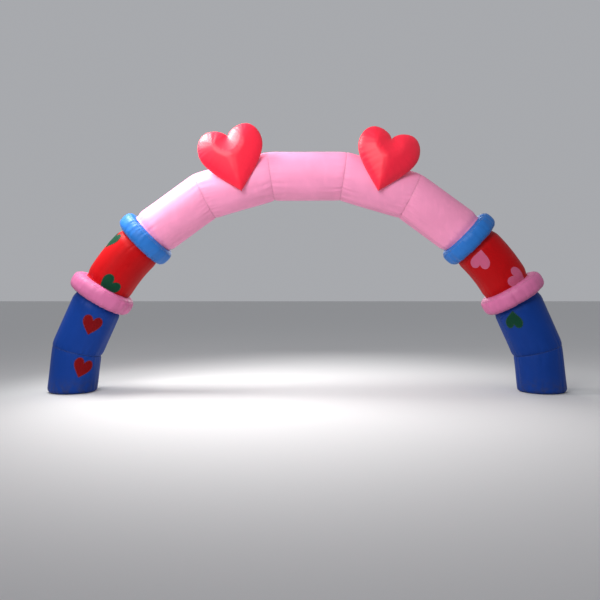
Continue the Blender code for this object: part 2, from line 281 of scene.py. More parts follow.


# %% [markdown]
# ## One recipe for all cloths
# The recipe goes from broad to fine. A faint mottle and paler upright streaks keep large panels from
# looking like plastic. Masks then pick out the doubled band along a seam and each stitch in it. The
# same masks feed colour and relief, so that a stitch is pale exactly where it stands proud. Last comes
# a painted shade that darkens the cloth towards the floor, mottled like dirt.

# %% Make the cloths
MOTTLE_SHADES = (0.93, 1.05)      # times the cloth's own colour
FADED_SHADE, FADED_SHARE = 1.15, 0.3
BAND_SHADE, BAND_SHARE = 0.65, 0.22
THREAD_SHARE = 0.8
ROUGHNESS_SWING = 0.08
BAND_ROUGHER = 0.05
BUMP_STRENGTH = 0.8


def shaded(colour, strength):
    """A darker or lighter shade of a colour, ready for a socket."""
    return (*[c * strength for c in colour], 1.0)


def whitened(colour, share):
    """A colour moved by a share towards white, ready for a socket."""
    return (*[c + (1.0 - c) * share for c in colour], 1.0)


def cloth_colour(recipe, look, mottle, band, stitches):
    """The cloth's colour, mottled and faded, with its seams and thread, and painted shade and dirt near
    the floor.
    """
    dark, pale = [shaded(look.colour, shade) for shade in MOTTLE_SHADES]
    colour = recipe.mix(mottle.fade(0.3, 0.7), dark, pale)
    faded = recipe.noise(11.0, 3.0, (1.0, 1.0, 0.35)).fade(0.45, 0.75)
    colour = recipe.mix(faded * FADED_SHARE, colour, shaded(look.colour, FADED_SHADE))
    colour = recipe.mix(band * BAND_SHARE, colour, shaded(look.colour, BAND_SHADE))
    colour = recipe.mix(stitches * THREAD_SHARE, colour, whitened(look.colour, look.thread))
    # Painted shade near the floor, mottled like dirt: the cloth darkens towards the ground.
    if look.dust:
        low = 1.0 - recipe.height().fade(0.0, FLOOR_SHADE_AND_DIRT_TOP)
        dust = low * recipe.noise(14.0, 4.0).fade(0.35, 0.7)
        colour = recipe.mix(dust * look.dust, colour, FLOOR_SHADE_AND_DIRT_COLOUR)
    return colour


def make_cloth(name):
    look = CLOTHS[name]
    recipe = Recipe("cloth_" + name)
    across, along = recipe.pair("cloth")
    run, gap = recipe.pair("seam")
    threads = (across * (pi / THREAD)).sine() * (along * (pi / THREAD)).sine()
    crinkle = recipe.noise(7.0, 3.0) + recipe.noise(23.0, 2.0) * 0.25
    mottle = recipe.noise(1.7, 4.0)
    band = 1.0 - gap.fade(SEAM_BAND - BAND_EDGE, SEAM_BAND + BAND_EDGE)
    lengths = (run / STITCH_LENGTH).fraction() < STITCH_SHARE
    rows = [abs(gap - row) < STITCH_WIDTH / 2 for row in STITCH_ROWS]
    stitches = (rows[0] + rows[1]) * lengths

    relief = threads * WEAVE_HEIGHT + crinkle * CRINKLE_HEIGHT
    relief = relief + band * SEAM_STEP + stitches * STITCH_HEIGHT
    inputs = {"Height": relief, "Distance": 1.0, "Strength": BUMP_STRENGTH}
    smoothest = look.roughness - ROUGHNESS_SWING / 2
    sockets = recipe.shader.inputs
    recipe.feed(sockets["Base Color"], cloth_colour(recipe, look, mottle, band, stitches))
    recipe.feed(sockets["Roughness"], smoothest + mottle * ROUGHNESS_SWING + band * BAND_ROUGHER)
    recipe.feed(sockets["Normal"], recipe.node("ShaderNodeBump", None, inputs))
    sockets["Specular IOR Level"].default_value = look.shine
    return recipe.material


cloths = {name: make_cloth(name) for name in CLOTHS}
print("cloths:", len(cloths), "nodes in one:", len(cloths["leg_blue"].node_tree.nodes))

# %% [markdown]
# ## The floor
# A plain pale floor, so large that its edge meets the sky far behind the arch. A box or a curved
# backdrop would hide the arch when it is looked at from behind.

# %% Floor
FLOOR_REACH = 120.0
FLOOR_COLOUR = (0.65, 0.65, 0.65, 1.0)
FLOOR_ROUGHNESS = 0.9

corners = [(x * FLOOR_REACH, y * FLOOR_REACH, 0.0) for x, y in ((-1, -1), (1, -1), (1, 1), (-1, 1))]
floor_mesh = bpy.data.meshes.new("floor")
floor_mesh.from_pydata(corners, [], [(0, 1, 2, 3)])
floor = bpy.data.objects.new("floor", floor_mesh)
scene.collection.objects.link(floor)
ground = Recipe("floor")
ground.shader.inputs["Base Color"].default_value = FLOOR_COLOUR
ground.shader.inputs["Roughness"].default_value = FLOOR_ROUGHNESS
floor_mesh.materials.append(ground.material)
print("floor:", 2 * FLOOR_REACH, "m wide")

# %% [markdown]
# ## The lengths of tube
# The arch is a polygon: six straight lengths from the left foot to the crown, joined by mitred
# seams. One table gives each length's size and slope, and another the bends between them. A skin
# could be had by smoothing its coarse solid, but here its points come from a formula in numpy, a
# whole grid at a time, which is quicker and rounder, and tells each point how far it is from a seam.

# %% Sizes of the lengths and bends
PLANE_Y = 0.018           # the tube's mid-plane
PIECE_GAP = 0.0003        # left between two pieces
Length = namedtuple("Length", "name metres slope radius bow slot")
LENGTHS = [
    Length("leg_foot", 0.641, 83.5, 0.361, 0.000, "leg_blue"),
    Length("leg_upper", 0.957, 66.0, 0.373, 0.000, "leg_blue"),
    Length("sleeve", 1.066, 51.2, 0.364, 0.030, "sleeve_red"),
    Length("arch_outer", 1.120, 36.0, 0.366, 0.000, "arch_pink"),
    Length("arch_inner", 1.060, 16.5, 0.368, 0.000, "arch_pink"),
]
CROWN = Length("arch_crown", 1.110, 0.0, 0.368, 0.000, "arch_pink")
Bend = namedtuple("Bend", "collar neck width radius slot")
BENDS = [
    Bend(None, 0.352, 0.0, 0.0, None),
    Bend("collar_pink", 0.345, 0.270, 0.495, "collar_pink"),
    Bend("collar_blue", 0.342, 0.265, 0.465, "collar_blue"),
    Bend(None, 0.356, 0.0, 0.0, None),
    Bend(None, 0.356, 0.0, 0.0, None),
]
FLOOR = None
SEAM_REACH = 0.11         # how far a tube takes to swell from a seam
COLLAR_REACH = 0.10       # the same past a collar
NECK_PAST_COLLAR = 0.02   # how far the neck reaches out of a collar
PAST_COLLAR = 0.003       # how far from a collar the puckers start
BOW_POWER = 0.7           # below 1, a bowed length leaves its necks more steeply
FOOT_ROUND = 0.065        # radius of the foot's lower edge
FRONT = np.array((0.0, -1.0, 0.0))
UP = np.array((0.0, 0.0, 1.0))
print("lengths from the floor to the crown:", len(LENGTHS) + 1, "bends:", len(BENDS))

# %% [markdown]
# ## Puckers
# A tube is a little wider than the seam it is gathered into, so the cloth puckers there: many small
# pinches close to the stitches, which merge into fewer, longer folds further out. On a length of
# tube, the air pressure of Blender's cloth solver draws these folds out flat, so they are placed
# by a formula: for each size of fold a row says how far apart they are, how far they reach from the
# seam and how deep they are. A fold is a round crest between two sharp pinches.

# %% Folds along a seam
Fold = namedtuple("Fold", "wave reach depth")
FOLDS = [
    Fold(0.043, 0.016, 0.0034),
    Fold(0.074, 0.034, 0.0050),
    Fold(0.135, 0.075, 0.0060),
    Fold(0.330, 0.170, 0.0055),
]
GROOVE_DEPTH = 0.0026     # how far a seam is drawn in
GROOVE_WIDTH = 0.006
BANK_SHARE = 0.35         # height of the banks beside it, in shares of that
WANDER = (1.1, 0.8)       # how far folds stray from even places, in radians
SIZE_SWING = 0.35         # how much their depth changes along the seam


def pinched(phase):
    """Round crests between sharp pinches, with a mean of nought."""
    return np.abs(np.sin(phase / 2)) - 2 / pi


def puckers(turn, loop, gap, seed, strength=1.0):
    """How far cloth stands out at a distance gap from a gathered seam.

    The place along the seam is a turn from 0 to 2 pi, and loop is its length in metres.
    """
    luck = np.random.default_rng(seed)
    total = np.zeros(np.broadcast(turn, gap).shape)
    for fold in FOLDS:
        first, second, third = luck.uniform(0.0, 2 * pi, 3)
        count = round(loop / fold.wave)
        wander = WANDER[0] * np.sin(3 * turn + second) + WANDER[1] * np.sin(5 * turn + third)
        size = 1.0 - SIZE_SWING + SIZE_SWING * np.sin(2 * turn + third)
        near = np.clip(gap, 0.0, None) / fold.reach
        total += fold.depth * size * pinched(count * turn + wander + first) * near * np.exp(1 - near)
    return total * strength


def groove(gap):
    """The cloth is drawn in along a seam and stands up a little beside it."""
    bank = np.exp(-((gap - 2 * GROOVE_WIDTH) / GROOVE_WIDTH) ** 2)
    return GROOVE_DEPTH * (BANK_SHARE * bank - np.exp(-(gap / GROOVE_WIDTH) ** 2))


trial = puckers(np.linspace(0.0, 2 * pi, 1000), 2.3, np.full(1000, 0.03), 0)
print("puckers 30 mm from a seam:", *[f"{x * 1000:.1f}" for x in (trial.min(), trial.max())], "mm")

# %% [markdown]
# ## A length of tube
# A skin point has a turn round the tube, counted from its outer side through its front, and a share
# of the way from the lower seam to the upper one. The seams are mitred, so each line along the skin
# has its own length. Two lengthwise seams close the tube, both just round the back, because the
# photograph shows none on the front.

# %% One length of tube
SIDE_SEAMS = [radians(angle) for angle in (197.0, 343.0)]
CROSS_FOLD = 0.046        # metres between the small folds along a lengthwise seam
CROSS_DEPTH = 0.0016
CROSS_REACH = 0.020
CROSS_WANDER = 1.5
SLOW_DEPTH = 0.0014       # unevenness of the whole skin
INNER_SLACK = 0.5         # how much deeper the puckers are on the inside of a bend
UNDER_COLLAR = 0.7        # depth of the puckers at a collar, times that at a seam
HELD = 0.005              # nearer than this to an end its stitches hold the cloth in place
CALM = 0.030              # the same for the lengthwise seams and the unevenness


def seam_turn(turn):
    """The turn between each column of cloth and its nearest lengthwise seam."""
    away = np.abs((np.asarray(turn)[..., None] - np.array(SIDE_SEAMS) + pi) % (2 * pi) - pi)
    return away.min(-1)


def collar_edge(bend, slant):
    """How far a collar reaches along a tube whose cut has this slant."""
    return bend.width / 2 / slant + PAST_COLLAR if bend and bend.collar else 0.0


class Tube:
    """A straight length of tube between two mitre cuts, on the left half of the arch."""

    def __init__(self, row, start, end, cuts, bends):
        self.row = row
        self.start = start
        self.length = np.linalg.norm(end - start)
        self.axis = (end - start) / self.length
        self.outward = np.array((-self.axis[2], 0.0, self.axis[0]))
        self.cuts = cuts
        self.bends = bends
        self.edges = [collar_edge(bend, self.axis @ cut) for bend, cut in zip(bends, cuts)]
        self.loop = 2 * pi * row.radius

    def spoke(self, turn):
        return np.cos(turn)[..., None] * self.outward + np.sin(turn)[..., None] * FRONT

    def end_radius(self, bend, gap):
        if bend is FLOOR:
            rise = np.clip(gap / FOOT_ROUND, 0.0, 1.0)
            return self.row.radius - FOOT_ROUND * (1.0 - np.sqrt(1.0 - (1.0 - rise) ** 2))
        swell = self.row.radius - bend.neck
        if bend.collar:
            rise = np.clip((gap - bend.width / 2 - NECK_PAST_COLLAR) / COLLAR_REACH, 0.0, 1.0)
            return bend.neck + swell * np.sin(rise * pi / 2)
        rise = np.clip(gap / SEAM_REACH, 0.0, 1.0)
        return bend.neck + swell * np.sqrt(1.0 - (1.0 - rise) ** 2)

    def radius(self, share):
        lower, upper = self.bends
        return np.minimum(self.end_radius(lower, share * self.length),
                          self.end_radius(upper, (1.0 - share) * self.length))

    def bow(self, share):
        """How far the length has swelled out of line between its two necks."""
        low, high = [(edge + NECK_PAST_COLLAR) / self.length for edge in self.edges]
        inside = np.clip((share - low) / (1.0 - high - low), 0.0, 1.0)
        return self.row.bow * np.sin(inside * pi) ** BOW_POWER

    def reach(self, turn):
        """Where the line along the skin at this turn meets the lower and upper cut."""
        spoke = self.spoke(turn)
        low_cut, high_cut = self.cuts
        low_gap = 0.0 if self.bends[0] is FLOOR else PIECE_GAP / 2
        ends = self.radius(np.array((0.0, 1.0)))
        low = (low_gap - ends[0] * (spoke @ low_cut)) / (self.axis @ low_cut)
        high = (-PIECE_GAP / 2 - ends[1] * (spoke @ high_cut)) / (self.axis @ high_cut)
        return low, self.length + high

    def side_relief(self, turn, share, gap, seeds):
        """The lengthwise seams with the small folds across them, and a slight unevenness."""
        away = seam_turn(turn) * self.row.radius
        phase = gap * 2 * pi / CROSS_FOLD + CROSS_WANDER * np.sin(share * 9.0 + seeds[0])
        folds = CROSS_DEPTH * pinched(phase) * np.exp(-away / CROSS_REACH)
        slow = np.sin(3 * turn + seeds[1] + 4.0 * share) * np.sin(5.0 * share + seeds[0])
        return groove(away) + folds + SLOW_DEPTH * slow

    def relief(self, turn, share, seeds):
        """The puckers at both ends, and what the sides add where the ends don't hold the cloth."""
        low, high = self.reach(turn)
        gaps = [share * (high - low) - self.edges[0], (1.0 - share) * (high - low) - self.edges[1]]
        hands = (1, -1) if self.row is CROWN else (1, 1)
        total = np.zeros(gaps[0].shape)
        nearest = np.minimum(*gaps)
        for bend, gap, hand, seed in zip(self.bends, gaps, hands, seeds):
            at_collar = bend and bend.collar
            strength = UNDER_COLLAR if at_collar else 1.0 - INNER_SLACK * np.cos(turn)
            total += puckers(hand * turn, self.loop, gap, seed, strength)
        total *= np.clip(nearest / HELD, 0.0, 1.0)
        sides = self.side_relief(turn, share, gaps[0], seeds)
        return total + sides * np.clip(nearest / CALM, 0.0, 1.0)

    def skin(self, turn, share, seeds):
        low, high = self.reach(turn)
        along = (low + (high - low) * share)[..., None] * self.axis
        out = (self.radius(share) + self.relief(turn, share, seeds))[..., None] * self.spoke(turn)
        return self.start + along + out + self.bow(share)[..., None] * self.outward


# %% [markdown]
# ## Setting out the lengths
# The lengths are laid end to end from the crown down, because the crown is centred and its height
# follows from them. Each mitre cut lies halfway between the directions of its two lengths. Only the
# left half is set out: the right one is the same half turned round.

# %% Set out the lengths
def make_tubes():
    """The lengths of the left half, from the floor up, and the crown."""
    rows = LENGTHS + [CROWN]
    steps = [np.array((cos(radians(row.slope)), 0.0, sin(radians(row.slope)))) for row in rows]
    ends = [np.array((CROWN.metres / 2, 0.0, 0.0))]
    for row, step in zip(reversed(rows), reversed(steps)):
        ends.append(ends[-1] - step * row.metres)
    ends = [end - UP * ends[-1][2] for end in reversed(ends)]
    cuts = [UP] + [(a + b) / np.linalg.norm(a + b) for a, b in zip(steps, steps[1:])]
    cuts.append(np.array((cuts[-1][0], 0.0, -cuts[-1][2])))
    bends = [FLOOR] + BENDS + [BENDS[-1]]
    return [Tube(row, ends[i], ends[i + 1], cuts[i:i + 2], bends[i:i + 2])
            for i, row in enumerate(rows)]


tubes = make_tubes()
print("height of the crown's middle line:", round(float(tubes[-1].start[2]), 4))

# %% [markdown]
# ## From a grid of points to a sewn skin
# A skin is a grid of points that closes on itself round the tube. Rows and columns are closer
# together where seams and puckers need them. Each face corner also carries its place on the cloth
# and its place along the nearest seam, and because corners and not points carry them, the numbers
# can run from nought to the full loop without a jump where the grid closes. The finished piece
# takes the place of one plain solid, which stays in the model for collisions only. It has to fill
# the same space, so the print shows how far its box is from that of the solid.

# %% Pieces
SHARP_ANGLE = radians(50.0)
SIDES = {"left": -1, "right": 1}
SIDE_NAMES = {side: name for name, side in SIDES.items()}


def placed(points, side):
    """Points of the left half as they stand on either side of the arch."""
    turned = points * np.array((-1.0, -1.0, 1.0)) if side > 0 else points
    return turned + np.array((0.0, PLANE_Y, 0.0))


def new_piece(name, points, faces, maps, slot):
    """A mesh object in its cloth, whose face corners carry the named pairs of numbers."""
    mesh = bpy.data.meshes.new(name)
    mesh.from_pydata(np.asarray(points).tolist(), [], faces)
    for layer, values in maps.items():
        made = mesh.uv_layers.new(name=layer)
        made.data.foreach_set("uv", np.asarray(values, np.float32).ravel())
    mesh.materials.append(cloths[slot])
    mesh.shade_smooth()
    mesh.set_sharp_from_angle(angle=SHARP_ANGLE)
    piece = bpy.data.objects.new(name, mesh)
    scene.collection.objects.link(piece)
    return piece


def seat(piece, node):
    """The piece rides on the arch's one body in place of its solid, and is checked against its box."""
    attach(piece, "root")
    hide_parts(node)
    bpy.context.view_layer.update()
    points = np.array([v.co for v in piece.data.vertices])
    low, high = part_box(node)
    off = max(np.abs(points.min(0) - low).max(), np.abs(points.max(0) - high).max())
    faces = len(piece.data.polygons)
    print(f"{piece.name}: {faces} faces, box within {off * 1000:.1f} mm of its solid")
    return piece


# %% [markdown]
# ## Sewing a grid
# Faces join each row of points to the next, and the last column to the first. The rows of a collar
# close on themselves as well. A length of tube has two ends instead. Each gets a middle point and a
# fan of triangles, so that the skin is closed all round like the real one, which holds its air.

# %% Sew a grid
FAR = 1.0                 # a distance from a seam that is past any band or stitch


def sew_grid(name, points, maps, slot, capped):
    """A piece from a grid whose columns close on themselves. Its rows close too, or end in caps."""
    rows, columns = points.shape[:2]
    r, c = np.meshgrid(np.arange(rows - capped), np.arange(columns), indexing="ij")
    up, on = (r + 1) % rows, (c + 1) % columns
    quads = np.stack([r * columns + c, r * columns + on, up * columns + on, up * columns + c], -1)
    faces = quads.reshape(-1, 4).tolist()
    values = {key: np.stack([v[:-1, :-1], v[:-1, 1:], v[1:, 1:], v[1:, :-1]], 2).reshape(-1, 2)
              for key, v in maps.items()}
    loose = points.reshape(-1, 3)
    if capped:
        middles = [points[0].mean(0), points[-1].mean(0)]
        top = (rows - 1) * columns
        count = rows * columns
        faces += [((i + 1) % columns, i, count) for i in range(columns)]
        faces += [(top + i, top + (i + 1) % columns, count + 1) for i in range(columns)]
        loose = np.vstack([loose, middles])
        plain = np.tile((0.0, FAR), (6 * columns, 1))
        values = {key: np.vstack([v, plain]) for key, v in values.items()}
    piece = new_piece(name, loose, faces, values, slot)
    return piece


# %% [markdown]
# ## Rows and columns
# Columns are even, with a few more beside each lengthwise seam. Rows start close together at a
# gathered seam, where the puckers are smallest, and part further out. They could be shares of the
# way along, but a mitred tube is longer outside than inside, and the rows would then cross the
# seam's band askew. So the end rows lie at true distances in each column.

# %% Where rows and columns go
COLUMNS = 240
SEAM_OFFSETS = [radians(angle) for angle in (-2.2, -1.1, -0.5, 0.0, 0.5, 1.1, 2.2)]
END_STEPS = (0.0, 0.002, 0.005, 0.009, 0.014, 0.020, 0.027, 0.035, 0.044, 0.055, 0.068, 0.083, 0.10)
ROW_STEP = 0.021
FOOT_ROWS = 9


def make_turns():
    """Even columns round a tube, with more of them at its lengthwise seams."""
    even = np.arange(COLUMNS) * 2 * pi / COLUMNS
    even = even[seam_turn(even) > SEAM_OFFSETS[-1] + pi / COLUMNS]
    fine = [seam + offset for seam in SIDE_SEAMS for offset in SEAM_OFFSETS]
    return np.sort(np.concatenate([even, fine]))


def end_gaps(bend, edge):
    """Distances of a skin's rows from one of its ends."""
    if bend is FLOOR:
        return list(FOOT_ROUND * (1.0 - np.cos(np.linspace(0.0, pi / 2, FOOT_ROWS))))
    hidden = [0.0, edge / 2] if edge else []
    return hidden + [edge + step for step in END_STEPS]


def row_shares(tube, span):
    """Shares of the way along the skin for each row, in each column of the given length."""
    low, high = [np.array(end_gaps(*end))[:, None] / span for end in zip(tube.bends, tube.edges)]
    high = 1.0 - high[::-1]
    count = ceil((high[0] - low[-1]).max() * tube.length / ROW_STEP)
    fill = np.linspace(0.0, 1.0, count + 1)[1:-1, None]
    return np.vstack([low, low[-1] + (high[0] - low[-1]) * fill, high])


TURNS = make_turns()
print("columns round a tube:", len(TURNS))

# %% [markdown]
# ## Making the lengths of tube
# Two lengths that meet at a seam are given the same seed for it. Their puckers then have the same
# places on both sides, as they have where one thread gathers both.

# %% Make the lengths of tube
def make_tube(tube, node, side, seeds):
    turn = np.append(TURNS, TURNS[0] + 2 * pi)
    low, high = tube.reach(turn)
    share = row_shares(tube, high - low)
    turn = np.broadcast_to(turn, share.shape)
    points = placed(tube.skin(turn, share, seeds), side)[:, :-1]
    points[..., 2] = np.clip(points[..., 2], 0.0, None)
    low, high = tube.reach(turn)
    across, along = turn * tube.row.radius, low + (high - low) * share
    to_side = seam_turn(turn) * tube.row.radius
    ends = zip(tube.bends, tube.edges, (along - low, high - along))
    gaps = [gap + FAR if bend is FLOOR else np.abs(gap - edge) for bend, edge, gap in ends]
    to_end = np.minimum(*gaps)
    run = np.where(to_side < to_end, along, across)
    maps = {"cloth": np.stack([across, along], -1),
            "seam": np.stack([run, np.minimum(to_side, to_end)], -1)}
    return seat(sew_grid("cloth_" + node, points, maps, tube.row.slot, True), node)


skins = {}
for number, tube in enumerate(tubes[:-1]):
    for side_name, side in SIDES.items():
        node = f"{tube.row.name}_{side_name}"
        seeds = [2 * number + (side > 0), 2 * number + 2 + (side > 0)]
        skins[node] = make_tube(tube, node, side, seeds)
skins[CROWN.name] = make_tube(tubes[-1], CROWN.name, -1, [2 * len(BENDS), 2 * len(BENDS) + 1])

# %% [markdown]
# ## Collars
# A collar is a fat ring of its own air, sewn round the bend: two side panels like washers and a band
# round the outside, which give it square shoulders. Its bore lies on the two lengths of tube that
# meet inside it. A torus would be too round, so the section is a superellipse, which is an ellipse
# with fuller corners, walked in even steps of cloth.

# %% The form of a collar
COLLAR_SQUARE = 2.7       # exponent of the superellipse
COLLAR_COLUMNS = 264
COLLAR_STEPS = 46         # over the outside of the section
SHOULDER = radians(45.0)  # where on the superellipse the shoulder seams lie
SECTION_SAMPLES = 2001


def collar_section(bend):
    """Offsets along the tube, lifts from bore to crown and cloth distances, in even steps."""
    angles = np.linspace(0.0, pi, SECTION_SAMPLES)
    power = 2 / COLLAR_SQUARE
    offset = -bend.width / 2 * np.sign(np.cos(angles)) * np.abs(np.cos(angles)) ** power
    lift = np.abs(np.sin(angles)) ** power
    height = lift * (bend.radius - bend.neck)
    cloth = np.concatenate([[0.0], np.cumsum(np.hypot(np.diff(offset), np.diff(height)))])
    even = np.linspace(0.0, cloth[-1], COLLAR_STEPS + 1)
    seams = np.interp((SHOULDER, pi - SHOULDER), angles, cloth)
    return np.interp(even, cloth, offset), np.interp(even, cloth, lift), even, seams


def collar_grid(bend, below, above, turn, offset, lift):
    """Points of a collar. Those of the bore follow the tube on their side of the bend."""
    axis = below.axis + above.axis
    axis /= np.linalg.norm(axis)
    outward = np.array((-axis[2], 0.0, axis[0]))
    crown = offset[..., None] * axis + bend.radius * (
        np.cos(turn)[..., None] * outward + np.sin(turn)[..., None] * FRONT)
    bores = []
    for tube in (below, above):
        spoke = tube.spoke(turn) * (bend.neck + PIECE_GAP)
        along = (offset - spoke @ axis) / (tube.axis @ axis)
        bores.append(along[..., None] * tube.axis + spoke)
    bore = np.where((offset < 0)[..., None], *bores)
    return above.start + bore + (crown - bore) * lift[..., None]


for bend in BENDS:
    if bend.collar:
        print(bend.collar, "takes", round(collar_section(bend)[2][-1], 3), "m of cloth from edge to edge")

# %% [markdown]
# ## Puckers and seams of a collar
# The two shoulder seams are drawn in more deeply than others, and the cloth puckers on both sides
# of them and where the collar meets the tube. The folds move each point along the skin's own normal,
# and fade out before the bore, which stays on the tube.

# %% Make the collars
SHOULDER_DEPTH = 2.0      # times the depth of other seams
COLLAR_PUCKERS = 0.9
COLLAR_HELD = 0.012       # nearer than this to the tube the folds fade
BORE_SHARES = (0.5, 0.0, -0.5)
BORE_MARGIN = 0.05        # of cloth, where the section closes
COLLAR_SEED = 40


def grid_normals(points):
    """Outward normals of a grid that closes both ways."""
    across = np.roll(points, -1, 1) - np.roll(points, 1, 1)
    along = np.roll(points, -1, 0) - np.roll(points, 1, 0)
    normals = np.cross(across, along)
    return normals / np.linalg.norm(normals, axis=-1, keepdims=True)


def make_collar(bend, below, above, node, side, seed):
    offset, lift, cloth, seams = collar_section(bend)
    rings = np.linspace(0.0, 2 * pi, COLLAR_COLUMNS + 1)
    bore = np.array(BORE_SHARES) * bend.width / 2
    offsets = np.concatenate([offset, bore])
    lifts = np.concatenate([lift, bore * 0.0])
    distance = np.concatenate([cloth, cloth[-1] + bend.width / 2 - bore])
    turn, offsets = np.meshgrid(rings, offsets)
    lifts, distance = [np.repeat(v[:, None], len(rings), 1) for v in (lifts, distance)]
    points = collar_grid(bend, below, above, turn, offsets, lifts)[:, :-1]
    loop = 2 * pi * bend.radius
    relief = np.zeros(turn.shape)
    for number, seam in enumerate(seams):
        gap = np.abs(distance - seam)
        relief += puckers(turn, loop, gap, seed + number, COLLAR_PUCKERS)
        relief += SHOULDER_DEPTH * groove(gap)
    for number, edge in enumerate((0.0, cloth[-1])):
        relief += puckers(turn, loop, np.abs(distance - edge), seed + 2 + number, COLLAR_PUCKERS)
    outside = np.clip(np.minimum(distance, cloth[-1] - distance) / COLLAR_HELD, 0.0, 1.0)
    points = points + grid_normals(points) * (relief * outside)[:, :-1, None]
    across = turn * bend.radius
    seam_gap = np.abs(distance[..., None] - np.array([0.0, *seams, cloth[-1]])).min(-1)
    place = np.stack([across, distance], -1)
    seam = np.stack([across, seam_gap], -1)
    closing = place[:1] + np.array((0.0, distance.max() + BORE_MARGIN))
    maps = {"cloth": np.vstack([place, closing]), "seam": np.vstack([seam, seam[:1]])}
    return seat(sew_grid("cloth_" + node, placed(points, side), maps, bend.slot, False), node)


for number, (bend, below, above) in enumerate(zip(BENDS, tubes, tubes[1:])):
    if bend.collar:
        for side_name, side in SIDES.items():
            node = f"{bend.collar}_{side_name}"
            seed = COLLAR_SEED + 10 * number + 5 * (side > 0)
            skins[node] = make_collar(bend, below, above, node, side, seed)

# %% [markdown]
# ## The outline of a heart
# All hearts are cut to one outline, which differs only in how deep its notch is. Half of it is three
# cubic curves, as a maker's template would be drawn, and the other half mirrors them. The outline
# is walked in even steps, so that the triangles along it have the same size as those inside.

# %% Heart outlines
Curve = namedtuple("Curve", "leave reach end")
HALF_HEART = [
    Curve((0.20, 0.22), (0.48, 0.46), (0.485, 0.69)),
    Curve((0.49, 0.87), (0.39, 1.00), (0.255, 1.00)),
]
CURVE_STEPS = 200


def cubic(start, leave, reach, end):
    """Points along a cubic curve with the handles leave and reach."""
    t = np.linspace(0.0, 1.0, CURVE_STEPS)[:, None]
    first = (1 - t) ** 3 * start + 3 * t * (1 - t) ** 2 * leave
    return first + 3 * t * t * (1 - t) * reach + t ** 3 * end


def heart_rim(height, notch, spacing):
    """A heart's outline, anticlockwise from its point, and how far along it each point is."""
    dense, start = [np.zeros((1, 2))], np.zeros(2)
    for curve in HALF_HEART + [Curve((0.13, 1.00), (0.03, (1.0 + notch) / 2), (0.0, notch))]:
        leave, reach, end = [np.array(p) for p in curve]
        dense.append(cubic(start, leave, reach, end)[1:])
        start = end
    dense = np.vstack(dense) * height
    walked = np.concatenate([[0.0], np.cumsum(np.linalg.norm(np.diff(dense, axis=0), axis=1))])
    even = np.linspace(0.0, walked[-1], ceil(walked[-1] / spacing) + 1)
    half = np.stack([np.interp(even, walked, dense[:, i]) for i in (0, 1)], -1)
    other = half[-2:0:-1] * (-1, 1)
    return np.vstack([half, other]), np.concatenate([even, even[-2:0:-1]])


print("outline of a heart 1 m high:", round(2 * heart_rim(1.0, 0.8, 0.01)[1].max(), 2), "m")

# %% [markdown]
# ## Filling an outline
# A flat heart is filled with even triangles. A plain grid would leave ragged ones at the rim, so
# three rows of points follow the rim inwards, ever further apart, and the grid starts inside them.
# Blender's Delaunay function joins all the points and keeps the outline as edges. Every point also
# learns how far it is from the rim and where along it, for its seam.

# %% Flat hearts
RIM_INSETS = (0.15, 0.45, 0.9)    # rows of points along the rim, in steps of the grid
GRID_INSET = 0.55         # from the last of them to the grid
ROOM_SHARE = 0.8          # a point of a row this much nearer to another part of the rim goes
MERGE = 1e-7


def rim_distance(points, rim, walked):
    """Each point's distance from the outline, negative outside, and where along it is nearest."""
    ends = np.roll(rim, -1, 0)
    edge = ends - rim
    share = np.einsum("pei,ei->pe", points[:, None] - rim, edge) / (edge ** 2).sum(1)
    share = np.clip(share, 0.0, 1.0)
    gap = np.linalg.norm(rim + edge * share[..., None] - points[:, None], axis=-1)
    nearest = gap.argmin(1)
    rows = np.arange(len(points))
    x, y = points[:, :1], points[:, 1:]
    crossing = (rim[:, 1] > y) != (ends[:, 1] > y)
    slope = np.divide(edge[:, 0], edge[:, 1], out=np.zeros(len(rim)), where=edge[:, 1] != 0)
    inside = (crossing & (x < rim[:, 0] + (y - rim[:, 1]) * slope)).sum(1) % 2 == 1
    step = np.roll(walked, -1)[nearest] - walked[nearest]
    along = walked[nearest] + step * share[rows, nearest]
    return np.where(inside, 1, -1) * gap[rows, nearest], along


def flat_heart(rim, walked, spacing):
    """Triangles that fill an outline, with each point's distance from it and place along it."""
    tangent = np.roll(rim, -1, 0) - np.roll(rim, 1, 0)
    tangent /= np.linalg.norm(tangent, axis=1)[:, None]
    inward = np.stack([-tangent[:, 1], tangent[:, 0]], -1)
    inner = []
    for inset in RIM_INSETS:
        row = rim + inward * inset * spacing
        inner.append(row[rim_distance(row, rim, walked)[0] > ROOM_SHARE * inset * spacing])
    reach = np.abs(rim).max()
    lines = np.arange(-reach, reach, spacing * 3 ** 0.5 / 2)
    grid = np.array([(x + spacing / 2 * (i % 2), y) for i, y in enumerate(lines)
                     for x in np.arange(-ceil(reach / spacing), ceil(reach / spacing)) * spacing])
    inner.append(grid[rim_distance(grid, rim, walked)[0] > spacing * (RIM_INSETS[-1] + GRID_INSET)])
    loop = [(i, (i + 1) % len(rim)) for i in range(len(rim))]
    points = [Vector(p) for p in np.vstack([rim, *inner]).tolist()]
    flat, _, faces, _, _, _ = delaunay_2d_cdt(points, loop, [], 1, MERGE)
    flat = np.array([tuple(p) for p in flat])
    gap, walk = rim_distance(flat, rim, walked)
    gap[:len(rim)] = 0.0
    return flat, faces, np.clip(gap, 0.0, None), walk


# %% [markdown]
# ## Puffed hearts
# Two flat panels sewn round their rim can't stretch, so air lifts them into slopes that rise evenly
# from the rim and meet in ridges: one from the point up to the notch, and one into each lobe. Their
# height at a point therefore follows from its distance to the rim. The nearest distance alone gives
# knife-sharp ridges, and a soft one, in which the whole rim counts and near parts count most, gives
# the slightly rounded ridges of the real hearts.

